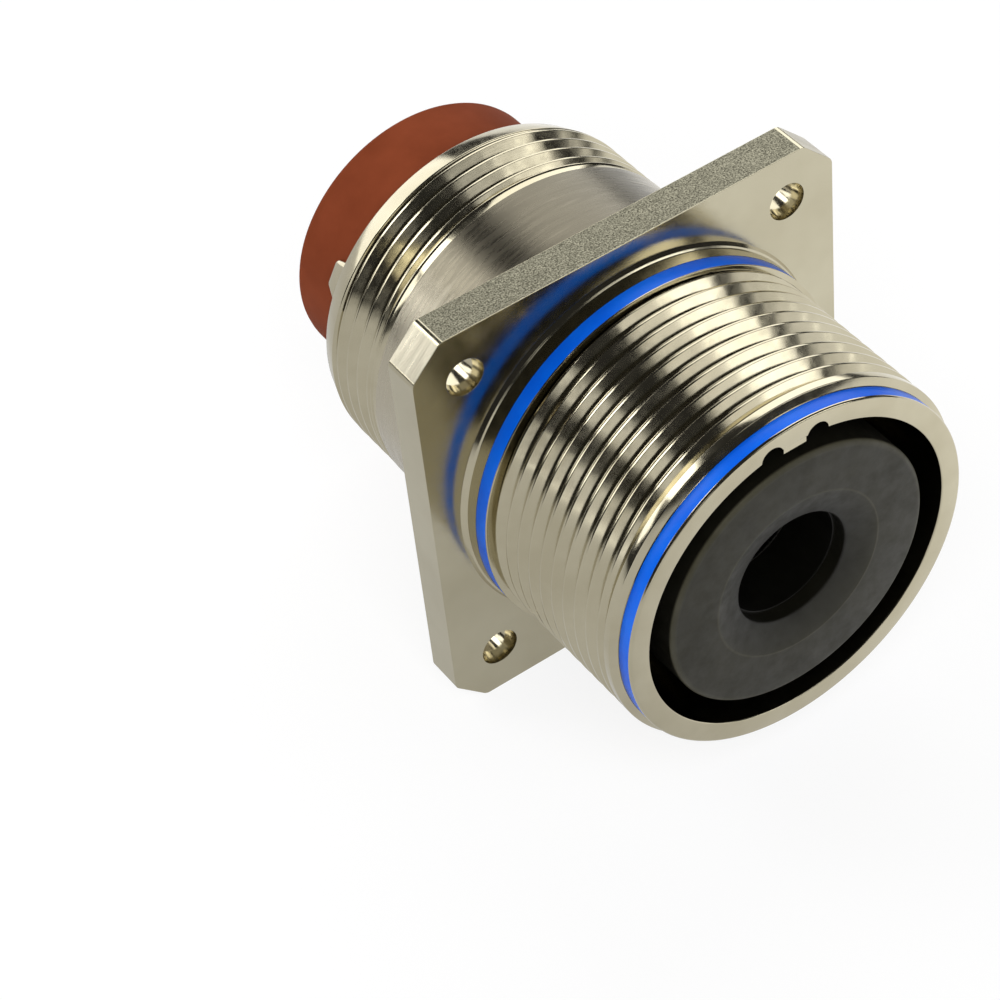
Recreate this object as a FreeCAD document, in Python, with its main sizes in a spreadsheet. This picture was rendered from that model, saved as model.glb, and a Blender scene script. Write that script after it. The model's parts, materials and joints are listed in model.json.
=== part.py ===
# Flanged receptacle connector for one power contact, millimetres.
#
# Frame: the connector's axis is Y. The mating end points towards -Y and the
# wire comes out towards +Y. The origin is the centre of the flange's front
# face, +Z runs up one side of the square flange, and the key is at the top.
import FreeCAD, Part
import math
import os
import Sketcher

os.makedirs("parts", exist_ok=True)
Vector = FreeCAD.Vector
doc = FreeCAD.newDocument("flanged_receptacle")

# Driving sizes: plain numbers in millimetres, degrees or counts

SIZES = {
    # flange
    "flange_width": 38.1,
    "flange_thickness": 3.2,
    "flange_corner_cut": 2.65,
    "flange_corner_round": 0.8,
    "flange_edge_break": 0.22,
    "flange_hole_spacing": 29.36,
    "flange_hole_diameter": 3.2,
    # threaded front barrel
    "barrel_length": 19.4,
    "thread_diameter": 31.75,
    "thread_pitch": 1.411,
    "thread_depth": 0.9,
    "thread_crest": 0.22,
    "thread_start": 3.5,
    "thread_length": 13.38,
    "thread_relief_end": 4.0,
    "thread_relief_margin": 0.05,
    "collar_diameter": 32.6,
    "collar_length": 2.85,
    "collar_fillet": 0.35,
    "nose_diameter": 30.6,
    "nose_length": 1.45,
    "nose_chamfer_length": 0.4,
    "rim_edge_round": 0.2,
    # coloured bands, filled into grooves of the shell
    "band_depth": 0.2,
    "band_clearance": 0.02,
    "front_band_setback": 0.24,
    "front_band_width": 1.16,
    "rear_band_setback": 0.12,
    "rear_band_width": 1.25,
    # cavity that the mating plug enters, with its key
    "cavity_diameter": 27.1,
    "cavity_depth": 14.8,
    "key_tip_radius": 13.05,
    "key_width": 2.0,
    "key_root": 0.4,
    "key_relief_diameter": 1.94,
    "key_relief_angle": 8.6,
    "key_relief_radius": 13.42,
    # rear barrel
    "rear_barrel_length": 18.95,
    "rear_neck_diameter": 30.24,
    "rear_neck_length": 10.65,
    "rear_relief_depth": 0.14,
    "rear_relief_width": 0.75,
    "rear_thread_diameter": 30.16,
    "rear_thread_start": 0.55,
    "rear_thread_length": 4.75,
    "rear_lip_diameter": 28.8,
    "rear_lip_length": 1.95,
    "rear_tooth_angle": 148.5,
    "rear_tooth_width": 2.6,
    "rear_tooth_height": 1.25,
    "rear_tooth_tip": 0.6,
    "rear_tooth_round": 0.22,
    "rear_tooth_margin": 0.1,
    # bore that holds the inserts
    "insert_bore_diameter": 26.0,
    "web_thickness": 2.0,
    "insert_fit": 0.04,
    # front insert
    "insert_diameter": 23.24,
    "insert_edge_round": 0.4,
    "funnel_diameter": 14.76,
    "funnel_depth": 0.8,
    "pin_hole_diameter": 9.84,
    "pin_hole_step": 0.17,
    "pin_hole_step_depth": 2.0,
    "pin_hole_length": 6.7,
    # rear insert
    "rear_insert_length": 9.0,
    "rear_insert_lip": 1.0,
    "contact_clearance": 0.3,
    # retention clip
    "clip_diameter": 18.5,
    "clip_wall": 0.3,
    "clip_fit": 0.05,
    "clip_tine_count": 6,
    "clip_tine_angle": 30,
    "clip_window_angle": 38,
    "clip_window_margin": 0.5,
    "clip_rear_ring": 1.4,
    "clip_tip_gap": 0.12,
    "clip_tip_clearance": 0.25,
    "clip_seam_width": 0.6,
    # grommet
    "grommet_length": 13.0,
    "grommet_setback": 0.95,
    "grommet_nose_diameter": 23.84,
    "grommet_edge_round": 0.5,
    "grommet_lip_height": 0.2,
    "grommet_lip_width": 1.0,
    "grommet_lip_count": 3,
    "grommet_lip_pitch": 3.2,
    # contact
    "hood_length": 18.0,
    "hood_diameter": 12.9,
    "hood_wall": 0.3,
    "hood_lip_length": 0.35,
    "hood_lip_diameter": 11.0,
    "hood_fit": 0.02,
    "hood_seat_length": 4.0,
    "neck_length": 2.8,
    "neck_diameter": 11.7,
    "contact_collar_clearance": 1.3,
    "contact_collar_length": 2.6,
    "contact_collar_bevel": 0.45,
    "crimp_length": 13.1,
    "crimp_diameter": 14.2,
    "crimp_bore_diameter": 10.6,
    "crimp_bore_depth": 12.0,
    "crimp_edge_round": 0.35,
    "inspection_hole_diameter": 1.3,
    "inspection_hole_offset": 11.2,
    "socket_bore_diameter": 9.7,
    "socket_bore_depth": 14.5,
    "tine_setback": 0.6,
    "tine_wall": 0.95,
    "tine_slot_count": 6,
    "tine_slot_width": 0.3,
    "tine_slot_length": 11.0,
    "marking_depth": 0.12,
    "broad_marking_start": 1.9,
    "broad_marking_width": 2.4,
    "middle_marking_start": 5.5,
    "middle_marking_width": 0.95,
    "narrow_marking_start": 7.9,
    "narrow_marking_width": 0.9,
}

# Places along the axis and radii that several pieces share, worked out from the sizes

PLACES = {
    "front_face": "-sizes.barrel_length",
    "web_front": "front_face + sizes.cavity_depth",
    "web_rear": "web_front + sizes.web_thickness",
    "shell_end": "sizes.flange_thickness + sizes.rear_barrel_length",
    "contact_mouth": "front_face + sizes.pin_hole_length + sizes.contact_clearance",
    "hood_end": "contact_mouth + sizes.hood_length",
    "insert_joint": "hood_end + sizes.neck_length",
    "contact_collar_end": "insert_joint + sizes.contact_collar_length",
    "contact_end": "contact_collar_end + sizes.crimp_length",
    "tine_front": "contact_mouth + sizes.tine_setback",
    "grommet_front": "insert_joint + sizes.rear_insert_length",
    "grommet_nose": "shell_end - sizes.grommet_setback",
    "grommet_end": "grommet_front + sizes.grommet_length",
    "clip_front": "insert_joint + sizes.clip_fit",
    "clip_end": "grommet_front - sizes.rear_insert_lip - sizes.clip_fit",
    "clip_tip": "contact_collar_end + sizes.clip_tip_gap",
    "clip_tine_root": "clip_end - sizes.clip_rear_ring",
    "rear_neck_end": "sizes.flange_thickness + sizes.rear_neck_length",
    "rear_relief_end": "rear_neck_end + sizes.rear_relief_width",
    "rear_lip_start": "shell_end - sizes.rear_lip_length",
    "collar_front": "-sizes.collar_length",
    "front_band_front": "front_face + sizes.front_band_setback",
    "front_band_rear": "front_band_front + sizes.front_band_width",
    "rear_band_front": "collar_front + sizes.rear_band_setback",
    "rear_band_rear": "rear_band_front + sizes.rear_band_width",
    "thread_radius": "sizes.thread_diameter / 2",
    "thread_root_radius": "thread_radius - sizes.thread_depth",
    "collar_radius": "sizes.collar_diameter / 2",
    "nose_radius": "sizes.nose_diameter / 2",
    "cavity_radius": "sizes.cavity_diameter / 2",
    "insert_radius": "sizes.insert_diameter / 2",
    "insert_bore_radius": "sizes.insert_bore_diameter / 2",
    "insert_seat_radius": "insert_bore_radius - sizes.insert_fit",
    "pin_hole_radius": "sizes.pin_hole_diameter / 2",
    "hood_radius": "sizes.hood_diameter / 2",
    "hood_inner_radius": "hood_radius - sizes.hood_wall",
    "crimp_radius": "sizes.crimp_diameter / 2",
    "socket_radius": "sizes.socket_bore_diameter / 2",
    "clip_radius": "sizes.clip_diameter / 2",
    "contact_collar_radius": "clip_radius - sizes.clip_wall - sizes.contact_collar_clearance",
    "contact_reach": "max(contact_collar_radius; crimp_radius)",
    "rear_passage_radius": "contact_reach + sizes.contact_clearance",
}

sheet = doc.addObject("Spreadsheet::Sheet", "sizes")
for row, (alias, value) in enumerate(SIZES.items(), start=1):
    sheet.set("A%d" % row, alias.replace("_", " "))
    sheet.set("B%d" % row, str(value))
    sheet.setAlias("B%d" % row, alias)
doc.recompute()

places = doc.addObject("Spreadsheet::Sheet", "places")
for row, (alias, rule) in enumerate(PLACES.items(), start=1):
    places.set("A%d" % row, alias.replace("_", " "))
    places.set("B%d" % row, "=" + rule)
    places.setAlias("B%d" % row, alias)
doc.recompute()


def number(rule):
    """The value that an expression has with the present sizes."""
    return float(sheet.evalExpression(rule))


def new_body(name):
    body = doc.addObject("PartDesign::Body", name)
    body.Label = name
    body.Placement = FreeCAD.Placement()
    return body


def new_sketch(body, name, role, offset="0"):
    """A sketch on one of the body's own planes, raised along the plane's normal."""
    plane = next(item for item in body.Origin.OriginFeatures if item.Role == role)
    sketch = body.newObject("Sketcher::SketchObject", name)
    sketch.AttachmentSupport = [(plane, "")]
    sketch.MapMode = "FlatFace"
    sketch.setExpression("AttachmentOffset.Base.z", "(%s) * 1 mm" % offset)
    return sketch


def add_outline(sketch, points):
    """A closed outline of straight edges, each corner held by a pair of expressions."""
    corners = [Vector(number(across), number(along), 0) for across, along in points]
    first = sketch.GeometryCount
    count = len(corners)
    for index, corner in enumerate(corners):
        sketch.addGeometry(Part.LineSegment(corner, corners[(index + 1) % count]), False)
    for index in range(count):
        following = first + (index + 1) % count
        sketch.addConstraint(Sketcher.Constraint("Coincident", first + index, 2, following, 1))
    for index, (across, along) in enumerate(points):
        for kind, rule in (("DistanceX", across), ("DistanceY", along)):
            hold = Sketcher.Constraint(kind, -1, 1, first + index, 1, number(rule))
            place = sketch.addConstraint(hold)
            sketch.setExpression("Constraints[%d]" % place, "(%s) * 1 mm" % rule)


def add_circle(sketch, across, along, radius):
    centre = Vector(number(across), number(along), 0)
    circle = sketch.addGeometry(Part.Circle(centre, Vector(0, 0, 1), number(radius)), False)
    for kind, rule in (("DistanceX", across), ("DistanceY", along)):
        place = sketch.addConstraint(Sketcher.Constraint(kind, -1, 1, circle, 3, number(rule)))
        sketch.setExpression("Constraints[%d]" % place, "(%s) * 1 mm" % rule)
    place = sketch.addConstraint(Sketcher.Constraint("Radius", circle, number(radius)))
    sketch.setExpression("Constraints[%d]" % place, "(%s) * 1 mm" % radius)


def turned(body, name, points, kind="Revolution", angle="360"):
    """The outline turned about the connector's axis, added or cut away."""
    sketch = new_sketch(body, name + "_profile", "XY_Plane")
    add_outline(sketch, points)
    feature = body.newObject("PartDesign::" + kind, name)
    feature.Profile = sketch
    feature.ReferenceAxis = (sketch, ["V_Axis"])
    feature.setExpression("Angle", angle)
    feature.Midplane = angle != "360"
    doc.recompute()
    return feature


def extruded(body, name, sketch, length, kind="Pad", backwards=False):
    feature = body.newObject("PartDesign::" + kind, name)
    feature.Profile = sketch
    feature.setExpression("Length", "(%s) * 1 mm" % length)
    feature.Reversed = backwards
    doc.recompute()
    return feature


def around_axis(body, feature, count):
    """Copies of a feature spaced evenly about the connector's axis."""
    pattern = body.newObject("PartDesign::PolarPattern", feature.Name + "_pattern")
    pattern.Originals = [feature]
    pattern.Axis = (feature.Profile[0], ["V_Axis"])
    pattern.Angle = 360
    pattern.setExpression("Occurrences", count)
    body.Tip = pattern
    doc.recompute()
    return pattern


def edges_where(feature, test):
    return ["Edge%d" % order for order, edge in enumerate(feature.Shape.Edges, start=1) if test(edge)]


def ring_edges(feature, radius, place):
    """Round edges about the axis with this radius at this place along it."""
    wanted_radius = number(radius)
    wanted_place = number(place)

    def matches(edge):
        if not isinstance(edge.Curve, Part.Circle):
            return False
        centre = edge.Curve.Center
        off_axis = math.hypot(centre.x, centre.z)
        size_error = abs(edge.Curve.Radius - wanted_radius)
        return off_axis < 1e-4 and size_error < 1e-4 and abs(centre.y - wanted_place) < 1e-4

    return edges_where(feature, matches)


def softened(body, name, feature, edges, size, kind="Fillet"):
    """A round or a bevel along the named edges."""
    soft = body.newObject("PartDesign::" + kind, name)
    soft.Base = (feature, edges)
    soft.setExpression("Radius" if kind == "Fillet" else "Size", "(%s) * 1 mm" % size)
    doc.recompute()
    return soft


def thread_cut(body, name, radius, start, length, forwards):
    """A single-start right-hand vee groove, cut along a helix."""
    half = "(sizes.thread_pitch - sizes.thread_crest) / 2"
    over = "sizes.thread_crest / 2"
    reach = "(%s) * (1 + %s / sizes.thread_depth)" % (half, over)
    sketch = new_sketch(body, name + "_profile", "XY_Plane")
    add_outline(sketch, [
        ("%s + %s" % (radius, over), "%s - %s" % (start, reach)),
        ("%s + %s" % (radius, over), "%s + %s" % (start, reach)),
        ("%s - sizes.thread_depth" % radius, start),
    ])
    doc.recompute()
    groove = body.newObject("PartDesign::SubtractiveHelix", name)
    groove.Profile = sketch
    groove.ReferenceAxis = (sketch, ["V_Axis"])
    groove.Mode = 0
    groove.setExpression("Pitch", "sizes.thread_pitch * 1 mm")
    groove.setExpression("Height", "(%s) * 1 mm" % length)
    groove.LeftHanded = False
    groove.Reversed = forwards
    doc.recompute()
    return groove


def make_shell():
    """Flange, both barrels, cavity, key, insert bore and threads in one turned piece."""
    body = new_body("shell")
    band_floor = "places.nose_radius - sizes.band_depth"
    rear_band_floor = "places.collar_radius - sizes.band_depth"
    relief_radius = "places.thread_root_radius - sizes.thread_relief_margin"
    neck_radius = "sizes.rear_neck_diameter / 2"
    rear_relief_radius = "sizes.rear_neck_diameter / 2 - sizes.rear_relief_depth"
    rear_thread_radius = "sizes.rear_thread_diameter / 2"
    chamfer_start = "places.front_face + sizes.nose_length"
    chamfer_end = "places.front_face + sizes.nose_length + sizes.nose_chamfer_length"
    middle = "sizes.flange_thickness / 2"
    root_reach = "places.collar_radius + 2 * sizes.collar_fillet"

    plate = new_sketch(body, "flange_outline", "XZ_Plane")
    half = "sizes.flange_width / 2"
    inset = "(sizes.flange_width / 2 - sizes.flange_corner_cut)"
    add_outline(plate, [
        (half, "-" + inset), (half, inset), (inset, half), ("-" + inset, half),
        ("-" + half, inset), ("-" + half, "-" + inset), ("-" + inset, "-" + half), (inset, "-" + half),
    ])
    flange = extruded(body, "flange", plate, "sizes.flange_thickness", backwards=True)
    reach = number("sizes.flange_width / 2 - 0.01")
    thickness = number("sizes.flange_thickness")

    def middle_of(edge):
        return edge.valueAt((edge.FirstParameter + edge.LastParameter) / 2)

    def is_upright(edge):
        ends = [vertex.Point for vertex in edge.Vertexes]
        if len(ends) != 2 or math.hypot(ends[0].x, ends[0].z) < reach:
            return False
        return (ends[0] - ends[1]).cross(Vector(0, 1, 0)).Length < 1e-6

    def is_outline(edge):
        ends = [vertex.Point for vertex in edge.Vertexes]
        spot = middle_of(edge)
        flat = len(ends) == 2 and abs(ends[0].y - ends[1].y) < 1e-6
        on_face = min(abs(spot.y), abs(spot.y - thickness)) < 1e-6
        return flat and on_face and math.hypot(spot.x, spot.z) > reach

    corners = softened(body, "corner_rounds", flange, edges_where(flange, is_upright),
                       "sizes.flange_corner_round")
    softened(body, "edge_bevels", corners, edges_where(corners, is_outline),
             "sizes.flange_edge_break", kind="Chamfer")

    # a disc inside the plate gives the collar's root round its footing
    barrels = turned(body, "barrels", [
        ("0", "places.front_face"),
        ("places.nose_radius", "places.front_face"),
        ("places.nose_radius", "places.front_band_front"),
        (band_floor, "places.front_band_front"),
        (band_floor, "places.front_band_rear"),
        ("places.nose_radius", "places.front_band_rear"),
        ("places.nose_radius", chamfer_start),
        ("places.thread_radius", chamfer_end),
        ("places.thread_radius", "-sizes.thread_relief_end"),
        (relief_radius, "-sizes.thread_relief_end + sizes.thread_crest"),
        (relief_radius, "places.collar_front"),
        ("places.collar_radius", "places.collar_front"),
        ("places.collar_radius", "places.rear_band_front"),
        (rear_band_floor, "places.rear_band_front"),
        (rear_band_floor, "places.rear_band_rear"),
        ("places.collar_radius", "places.rear_band_rear"),
        ("places.collar_radius", "0"),
        (root_reach, "0"),
        (root_reach, middle),
        (neck_radius, middle),
        (neck_radius, "places.rear_neck_end"),
        (rear_relief_radius, "places.rear_neck_end"),
        (rear_relief_radius, "places.rear_relief_end"),
        (rear_thread_radius, "places.rear_relief_end"),
        (rear_thread_radius, "places.rear_lip_start"),
        ("sizes.rear_lip_diameter / 2", "places.shell_end"),
        ("0", "places.shell_end"),
    ])
    rim = ring_edges(barrels, "places.nose_radius", "places.front_face")
    softened(body, "rim_round", barrels, rim, "sizes.rim_edge_round")
    root = ring_edges(body.Tip, "places.collar_radius", "0")
    softened(body, "collar_root", body.Tip, root, "sizes.collar_fillet")

    past = "1"
    turned(body, "bores", [
        ("0", "places.front_face - " + past),
        ("places.cavity_radius", "places.front_face - " + past),
        ("places.cavity_radius", "places.web_front"),
        ("places.insert_radius + sizes.insert_fit", "places.web_front"),
        ("places.insert_radius + sizes.insert_fit", "places.web_rear"),
        ("places.insert_bore_radius", "places.web_rear"),
        ("places.insert_bore_radius", "places.shell_end + " + past),
        ("0", "places.shell_end + " + past),
    ], kind="Groove")

    holes = new_sketch(body, "bolt_holes_layout", "XZ_Plane")
    reach_out = "sizes.flange_hole_spacing / 2"
    for side in ("", "-"):
        for height in ("", "-"):
            add_circle(holes, side + reach_out, height + reach_out, "sizes.flange_hole_diameter / 2")
    extruded(body, "bolt_holes", holes, "sizes.flange_thickness", kind="Pocket")

    notches = new_sketch(body, "key_relief_layout", "XZ_Plane", "sizes.barrel_length")
    for side in ("", "-"):
        across = side + "sizes.key_relief_radius * sin(sizes.key_relief_angle * 1 deg)"
        upwards = "sizes.key_relief_radius * cos(sizes.key_relief_angle * 1 deg)"
        add_circle(notches, across, upwards, "sizes.key_relief_diameter / 2")
    extruded(body, "key_reliefs", notches, "sizes.cavity_depth", kind="Pocket")

    key = new_sketch(body, "key_section", "XZ_Plane", "-places.web_front")
    side = "sizes.key_width / 2"
    top = "places.cavity_radius + sizes.key_root"
    add_outline(key, [
        (side, "sizes.key_tip_radius"), (side, top), ("-" + side, top), ("-" + side, "sizes.key_tip_radius"),
    ])
    extruded(body, "key", key, "sizes.cavity_depth")

    # one tooth on the rear face, which stops the rear fitting from turning
    tooth_inner = "(places.insert_bore_radius + sizes.rear_tooth_margin)"
    tooth_outer = "(sizes.rear_lip_diameter / 2 - sizes.rear_tooth_margin)"
    turn_angle = "(90 - sizes.rear_tooth_angle)"
    tooth = new_sketch(body, "rear_tooth_face", "XY_Plane")
    tooth.setExpression("AttachmentOffset.Base.x", "%s * sin(%s * 1 deg) * 1 mm" % (tooth_inner, turn_angle))
    tooth.setExpression("AttachmentOffset.Base.z", "%s * cos(%s * 1 deg) * 1 mm" % (tooth_inner, turn_angle))
    tooth.AttachmentOffset = FreeCAD.Placement(tooth.AttachmentOffset.Base, Vector(0, 1, 0), number(turn_angle))
    foot = "places.shell_end - sizes.rear_tooth_margin"
    tip = "places.shell_end + sizes.rear_tooth_height"
    add_outline(tooth, [
        ("sizes.rear_tooth_width / 2", foot), ("sizes.rear_tooth_width / 2", "places.shell_end"),
        ("sizes.rear_tooth_tip / 2", tip), ("-sizes.rear_tooth_tip / 2", tip),
        ("-sizes.rear_tooth_width / 2", "places.shell_end"), ("-sizes.rear_tooth_width / 2", foot),
    ])
    block = extruded(body, "rear_tooth", tooth, "%s - %s" % (tooth_outer, tooth_inner))
    tip_place = number(tip)

    def on_tooth_tip(edge):
        ends = [vertex.Point for vertex in edge.Vertexes]
        length = number("%s - %s" % (tooth_outer, tooth_inner))
        at_tip = all(abs(end.y - tip_place) < 1e-5 for end in ends)
        return at_tip and abs(edge.Length - length) < 1e-4

    softened(body, "rear_tooth_round", block, edges_where(block, on_tooth_tip), "sizes.rear_tooth_round")

    thread_cut(body, "rear_thread", "sizes.rear_thread_diameter / 2",
               "(places.rear_relief_end + sizes.rear_thread_start)", "sizes.rear_thread_length", forwards=False)
    thread_cut(body, "front_thread", "places.thread_radius", "-sizes.thread_start",
               "sizes.thread_length", forwards=True)
    return body


def make_band(name, outer, front, rear):
    """A ring of colour that fills its groove, flush with the metal."""
    body = new_body(name)
    inner = "%s - sizes.band_depth + sizes.band_clearance" % outer
    flush = "%s - sizes.band_clearance" % outer
    turned(body, name + "_ring", [
        (inner, front + " + sizes.band_clearance"),
        (flush, front + " + sizes.band_clearance"),
        (flush, rear + " - sizes.band_clearance"),
        (inner, rear + " - sizes.band_clearance"),
    ])
    return body


def make_front_insert():
    """The hard insulator: its face is flush with the rim and its hole narrows from a funnel."""
    body = new_body("front_insert")
    narrow = "places.pin_hole_radius - sizes.pin_hole_step"
    pocket_radius = "places.hood_radius + sizes.contact_clearance"
    pocket_front = "places.contact_mouth - sizes.contact_clearance"
    block = turned(body, "front_insert_block", [
        ("sizes.funnel_diameter / 2", "places.front_face"),
        ("places.insert_radius", "places.front_face"),
        ("places.insert_radius", "places.web_rear"),
        ("places.insert_seat_radius", "places.web_rear"),
        ("places.insert_seat_radius", "places.insert_joint"),
        (pocket_radius, "places.insert_joint"),
        (pocket_radius, pocket_front),
        (narrow, pocket_front),
        (narrow, "places.front_face + sizes.pin_hole_step_depth"),
        ("places.pin_hole_radius", "places.front_face + sizes.pin_hole_step_depth"),
        ("places.pin_hole_radius", "places.front_face + sizes.funnel_depth"),
    ])
    edge = ring_edges(block, "places.insert_radius", "places.front_face")
    softened(body, "front_insert_round", block, edge, "sizes.insert_edge_round")
    return body


def make_rear_insert():
    """The second insulator, which traps the retention clip behind the first."""
    body = new_body("rear_insert")
    recess = "places.clip_radius + sizes.clip_fit"
    lip = "places.grommet_front - sizes.rear_insert_lip"
    turned(body, "rear_insert_block", [
        (recess, "places.insert_joint"),
        ("places.insert_seat_radius", "places.insert_joint"),
        ("places.insert_seat_radius", "places.grommet_front"),
        ("places.rear_passage_radius", "places.grommet_front"),
        ("places.rear_passage_radius", lip),
        (recess, lip),
    ])
    return body


def make_clip():
    """A split spring sleeve whose tines lean inwards behind the contact's collar."""
    body = new_body("contact_clip")
    inner = "places.clip_radius - sizes.clip_wall"
    turned(body, "clip_sleeve", [
        (inner, "places.clip_front"),
        ("places.clip_radius", "places.clip_front"),
        ("places.clip_radius", "places.clip_end"),
        (inner, "places.clip_end"),
    ])
    window_front = "places.clip_tip - sizes.clip_window_margin"
    window = turned(body, "clip_window", [
        (inner + " - sizes.clip_wall", window_front),
        ("places.clip_radius + sizes.clip_wall", window_front),
        ("places.clip_radius + sizes.clip_wall", "places.clip_tine_root"),
        (inner + " - sizes.clip_wall", "places.clip_tine_root"),
    ], kind="Groove", angle="sizes.clip_window_angle")
    around_axis(body, window, "sizes.clip_tine_count")
    tip_radius = "places.crimp_radius + sizes.clip_tip_clearance"
    tine = turned(body, "clip_tine", [
        (tip_radius, "places.clip_tip"),
        (tip_radius + " + sizes.clip_wall", "places.clip_tip"),
        ("places.clip_radius", "places.clip_tine_root"),
        ("places.clip_radius", "places.clip_tine_root + sizes.clip_wall"),
        (inner, "places.clip_tine_root + sizes.clip_wall"),
        (inner, "places.clip_tine_root"),
    ], angle="sizes.clip_tine_angle")
    around_axis(body, tine, "sizes.clip_tine_count")
    seam = new_sketch(body, "clip_seam_outline", "XY_Plane")
    side = "sizes.clip_seam_width / 2"
    add_outline(seam, [
        (side, "places.clip_front - sizes.clip_wall"), (side, "places.clip_end + sizes.clip_wall"),
        ("-" + side, "places.clip_end + sizes.clip_wall"), ("-" + side, "places.clip_front - sizes.clip_wall"),
    ])
    extruded(body, "clip_seam", seam, "places.clip_radius + sizes.clip_wall", kind="Pocket")
    return body


def make_grommet():
    """The soft wire seal, with rounded lips inside its passage."""
    body = new_body("grommet")
    nose_radius = "sizes.grommet_nose_diameter / 2"
    points = [
        ("places.rear_passage_radius", "places.grommet_front"),
        ("places.insert_seat_radius", "places.grommet_front"),
        ("places.insert_seat_radius", "places.grommet_nose"),
        (nose_radius, "places.grommet_nose"),
        (nose_radius, "places.grommet_end"),
        ("places.rear_passage_radius", "places.grommet_end"),
    ]
    for order in range(int(number("sizes.grommet_lip_count"))):
        back = "places.grommet_end - %d * sizes.grommet_lip_pitch + sizes.grommet_lip_width" % (order + 1)
        lip_radius = "places.rear_passage_radius - sizes.grommet_lip_height"
        points += [
            ("places.rear_passage_radius", back),
            (lip_radius, back + " - sizes.grommet_lip_width / 3"),
            (lip_radius, back + " - 2 * sizes.grommet_lip_width / 3"),
            ("places.rear_passage_radius", back + " - sizes.grommet_lip_width"),
        ]
    block = turned(body, "grommet_block", points)
    edge = ring_edges(block, nose_radius, "places.grommet_end")
    softened(body, "grommet_round", block, edge, "sizes.grommet_edge_round")
    return body


MARKINGS = ("broad", "middle", "narrow")


def marking_span(kind):
    """Front and rear ends of one coloured ring on the crimp barrel."""
    rear = "places.contact_end - sizes.%s_marking_start" % kind
    return "%s - sizes.%s_marking_width" % (rear, kind), rear


def make_contact_body():
    """The turned contact: slotted socket, hub, collar and crimp barrel."""
    body = new_body("contact_body")
    hub_radius = "places.hood_inner_radius - sizes.hood_fit"
    tine_radius = "places.socket_radius + sizes.tine_wall"
    collar_bevel = "places.contact_collar_radius - sizes.contact_collar_bevel"
    hub_front = "places.hood_end - sizes.hood_seat_length"
    crimp_floor = "places.contact_end - sizes.crimp_bore_depth"
    groove_floor = "places.crimp_radius - sizes.marking_depth"
    points = [
        ("places.socket_radius", "places.tine_front"),
        (tine_radius, "places.tine_front"),
        (tine_radius, hub_front),
        (hub_radius, hub_front),
        (hub_radius, "places.hood_end"),
        ("sizes.neck_diameter / 2", "places.hood_end"),
        ("sizes.neck_diameter / 2", "places.insert_joint"),
        (collar_bevel, "places.insert_joint"),
        ("places.contact_collar_radius", "places.insert_joint + sizes.contact_collar_bevel"),
        ("places.contact_collar_radius", "places.contact_collar_end"),
        ("places.crimp_radius", "places.contact_collar_end"),
    ]
    for kind in reversed(MARKINGS):
        front, rear = marking_span(kind)
        points += [
            ("places.crimp_radius", front), (groove_floor, front),
            (groove_floor, rear), ("places.crimp_radius", rear),
        ]
    points += [
        ("places.crimp_radius", "places.contact_end"),
        ("sizes.crimp_bore_diameter / 2", "places.contact_end"),
        ("sizes.crimp_bore_diameter / 2", crimp_floor),
        ("0", crimp_floor + " - sizes.crimp_bore_diameter / 6"),
        ("0", "places.tine_front + sizes.socket_bore_depth"),
        ("places.socket_radius", "places.tine_front + sizes.socket_bore_depth"),
    ]
    turning = turned(body, "contact_turning", points)
    edge = ring_edges(turning, "places.crimp_radius", "places.contact_end")
    softened(body, "crimp_round", turning, edge, "sizes.crimp_edge_round")

    slot = new_sketch(body, "tine_slot_outline", "XY_Plane")
    side = "sizes.tine_slot_width / 2"
    slot_front = "places.tine_front - sizes.tine_setback"
    slot_end = "places.tine_front + sizes.tine_slot_length"
    add_outline(slot, [(side, slot_front), (side, slot_end), ("-" + side, slot_end), ("-" + side, slot_front)])
    cut = extruded(body, "tine_slot", slot, "places.hood_radius", kind="Pocket")
    around_axis(body, cut, "sizes.tine_slot_count")

    hole = new_sketch(body, "inspection_hole_place", "XY_Plane")
    add_circle(hole, "0", "places.contact_end - sizes.inspection_hole_offset", "sizes.inspection_hole_diameter / 2")
    extruded(body, "inspection_hole", hole, "places.contact_reach", kind="Pocket", backwards=True)
    return body


def make_hood():
    """The thin steel hood around the tines, rolled inwards at its mouth."""
    body = new_body("contact_hood")
    turned(body, "hood_tube", [
        ("sizes.hood_lip_diameter / 2", "places.contact_mouth"),
        ("places.hood_radius", "places.contact_mouth"),
        ("places.hood_radius", "places.hood_end"),
        ("places.hood_inner_radius", "places.hood_end"),
        ("places.hood_inner_radius", "places.contact_mouth + sizes.hood_lip_length"),
        ("sizes.hood_lip_diameter / 2", "places.contact_mouth + sizes.hood_lip_length"),
    ])
    edge = ring_edges(body.Tip, "places.hood_radius", "places.contact_mouth")
    softened(body, "hood_round", body.Tip, edge, "sizes.hood_wall")
    return body


def make_marking(kind):
    """One painted ring in its groove on the crimp barrel."""
    front, rear = marking_span(kind)
    body = new_body("contact_marking_" + kind)
    inner = "places.crimp_radius - sizes.marking_depth + sizes.band_clearance"
    turned(body, kind + "_ring", [
        (inner, front + " + sizes.band_clearance"),
        ("places.crimp_radius", front + " + sizes.band_clearance"),
        ("places.crimp_radius", rear + " - sizes.band_clearance"),
        (inner, rear + " - sizes.band_clearance"),
    ])
    return body


pieces = [
    make_shell(),
    make_band("front_band", "places.nose_radius", "places.front_band_front", "places.front_band_rear"),
    make_band("rear_band", "places.collar_radius", "places.rear_band_front", "places.rear_band_rear"),
    make_front_insert(),
    make_rear_insert(),
    make_clip(),
    make_grommet(),
    make_contact_body(),
    make_hood(),
]
pieces += [make_marking(kind) for kind in MARKINGS]

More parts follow.
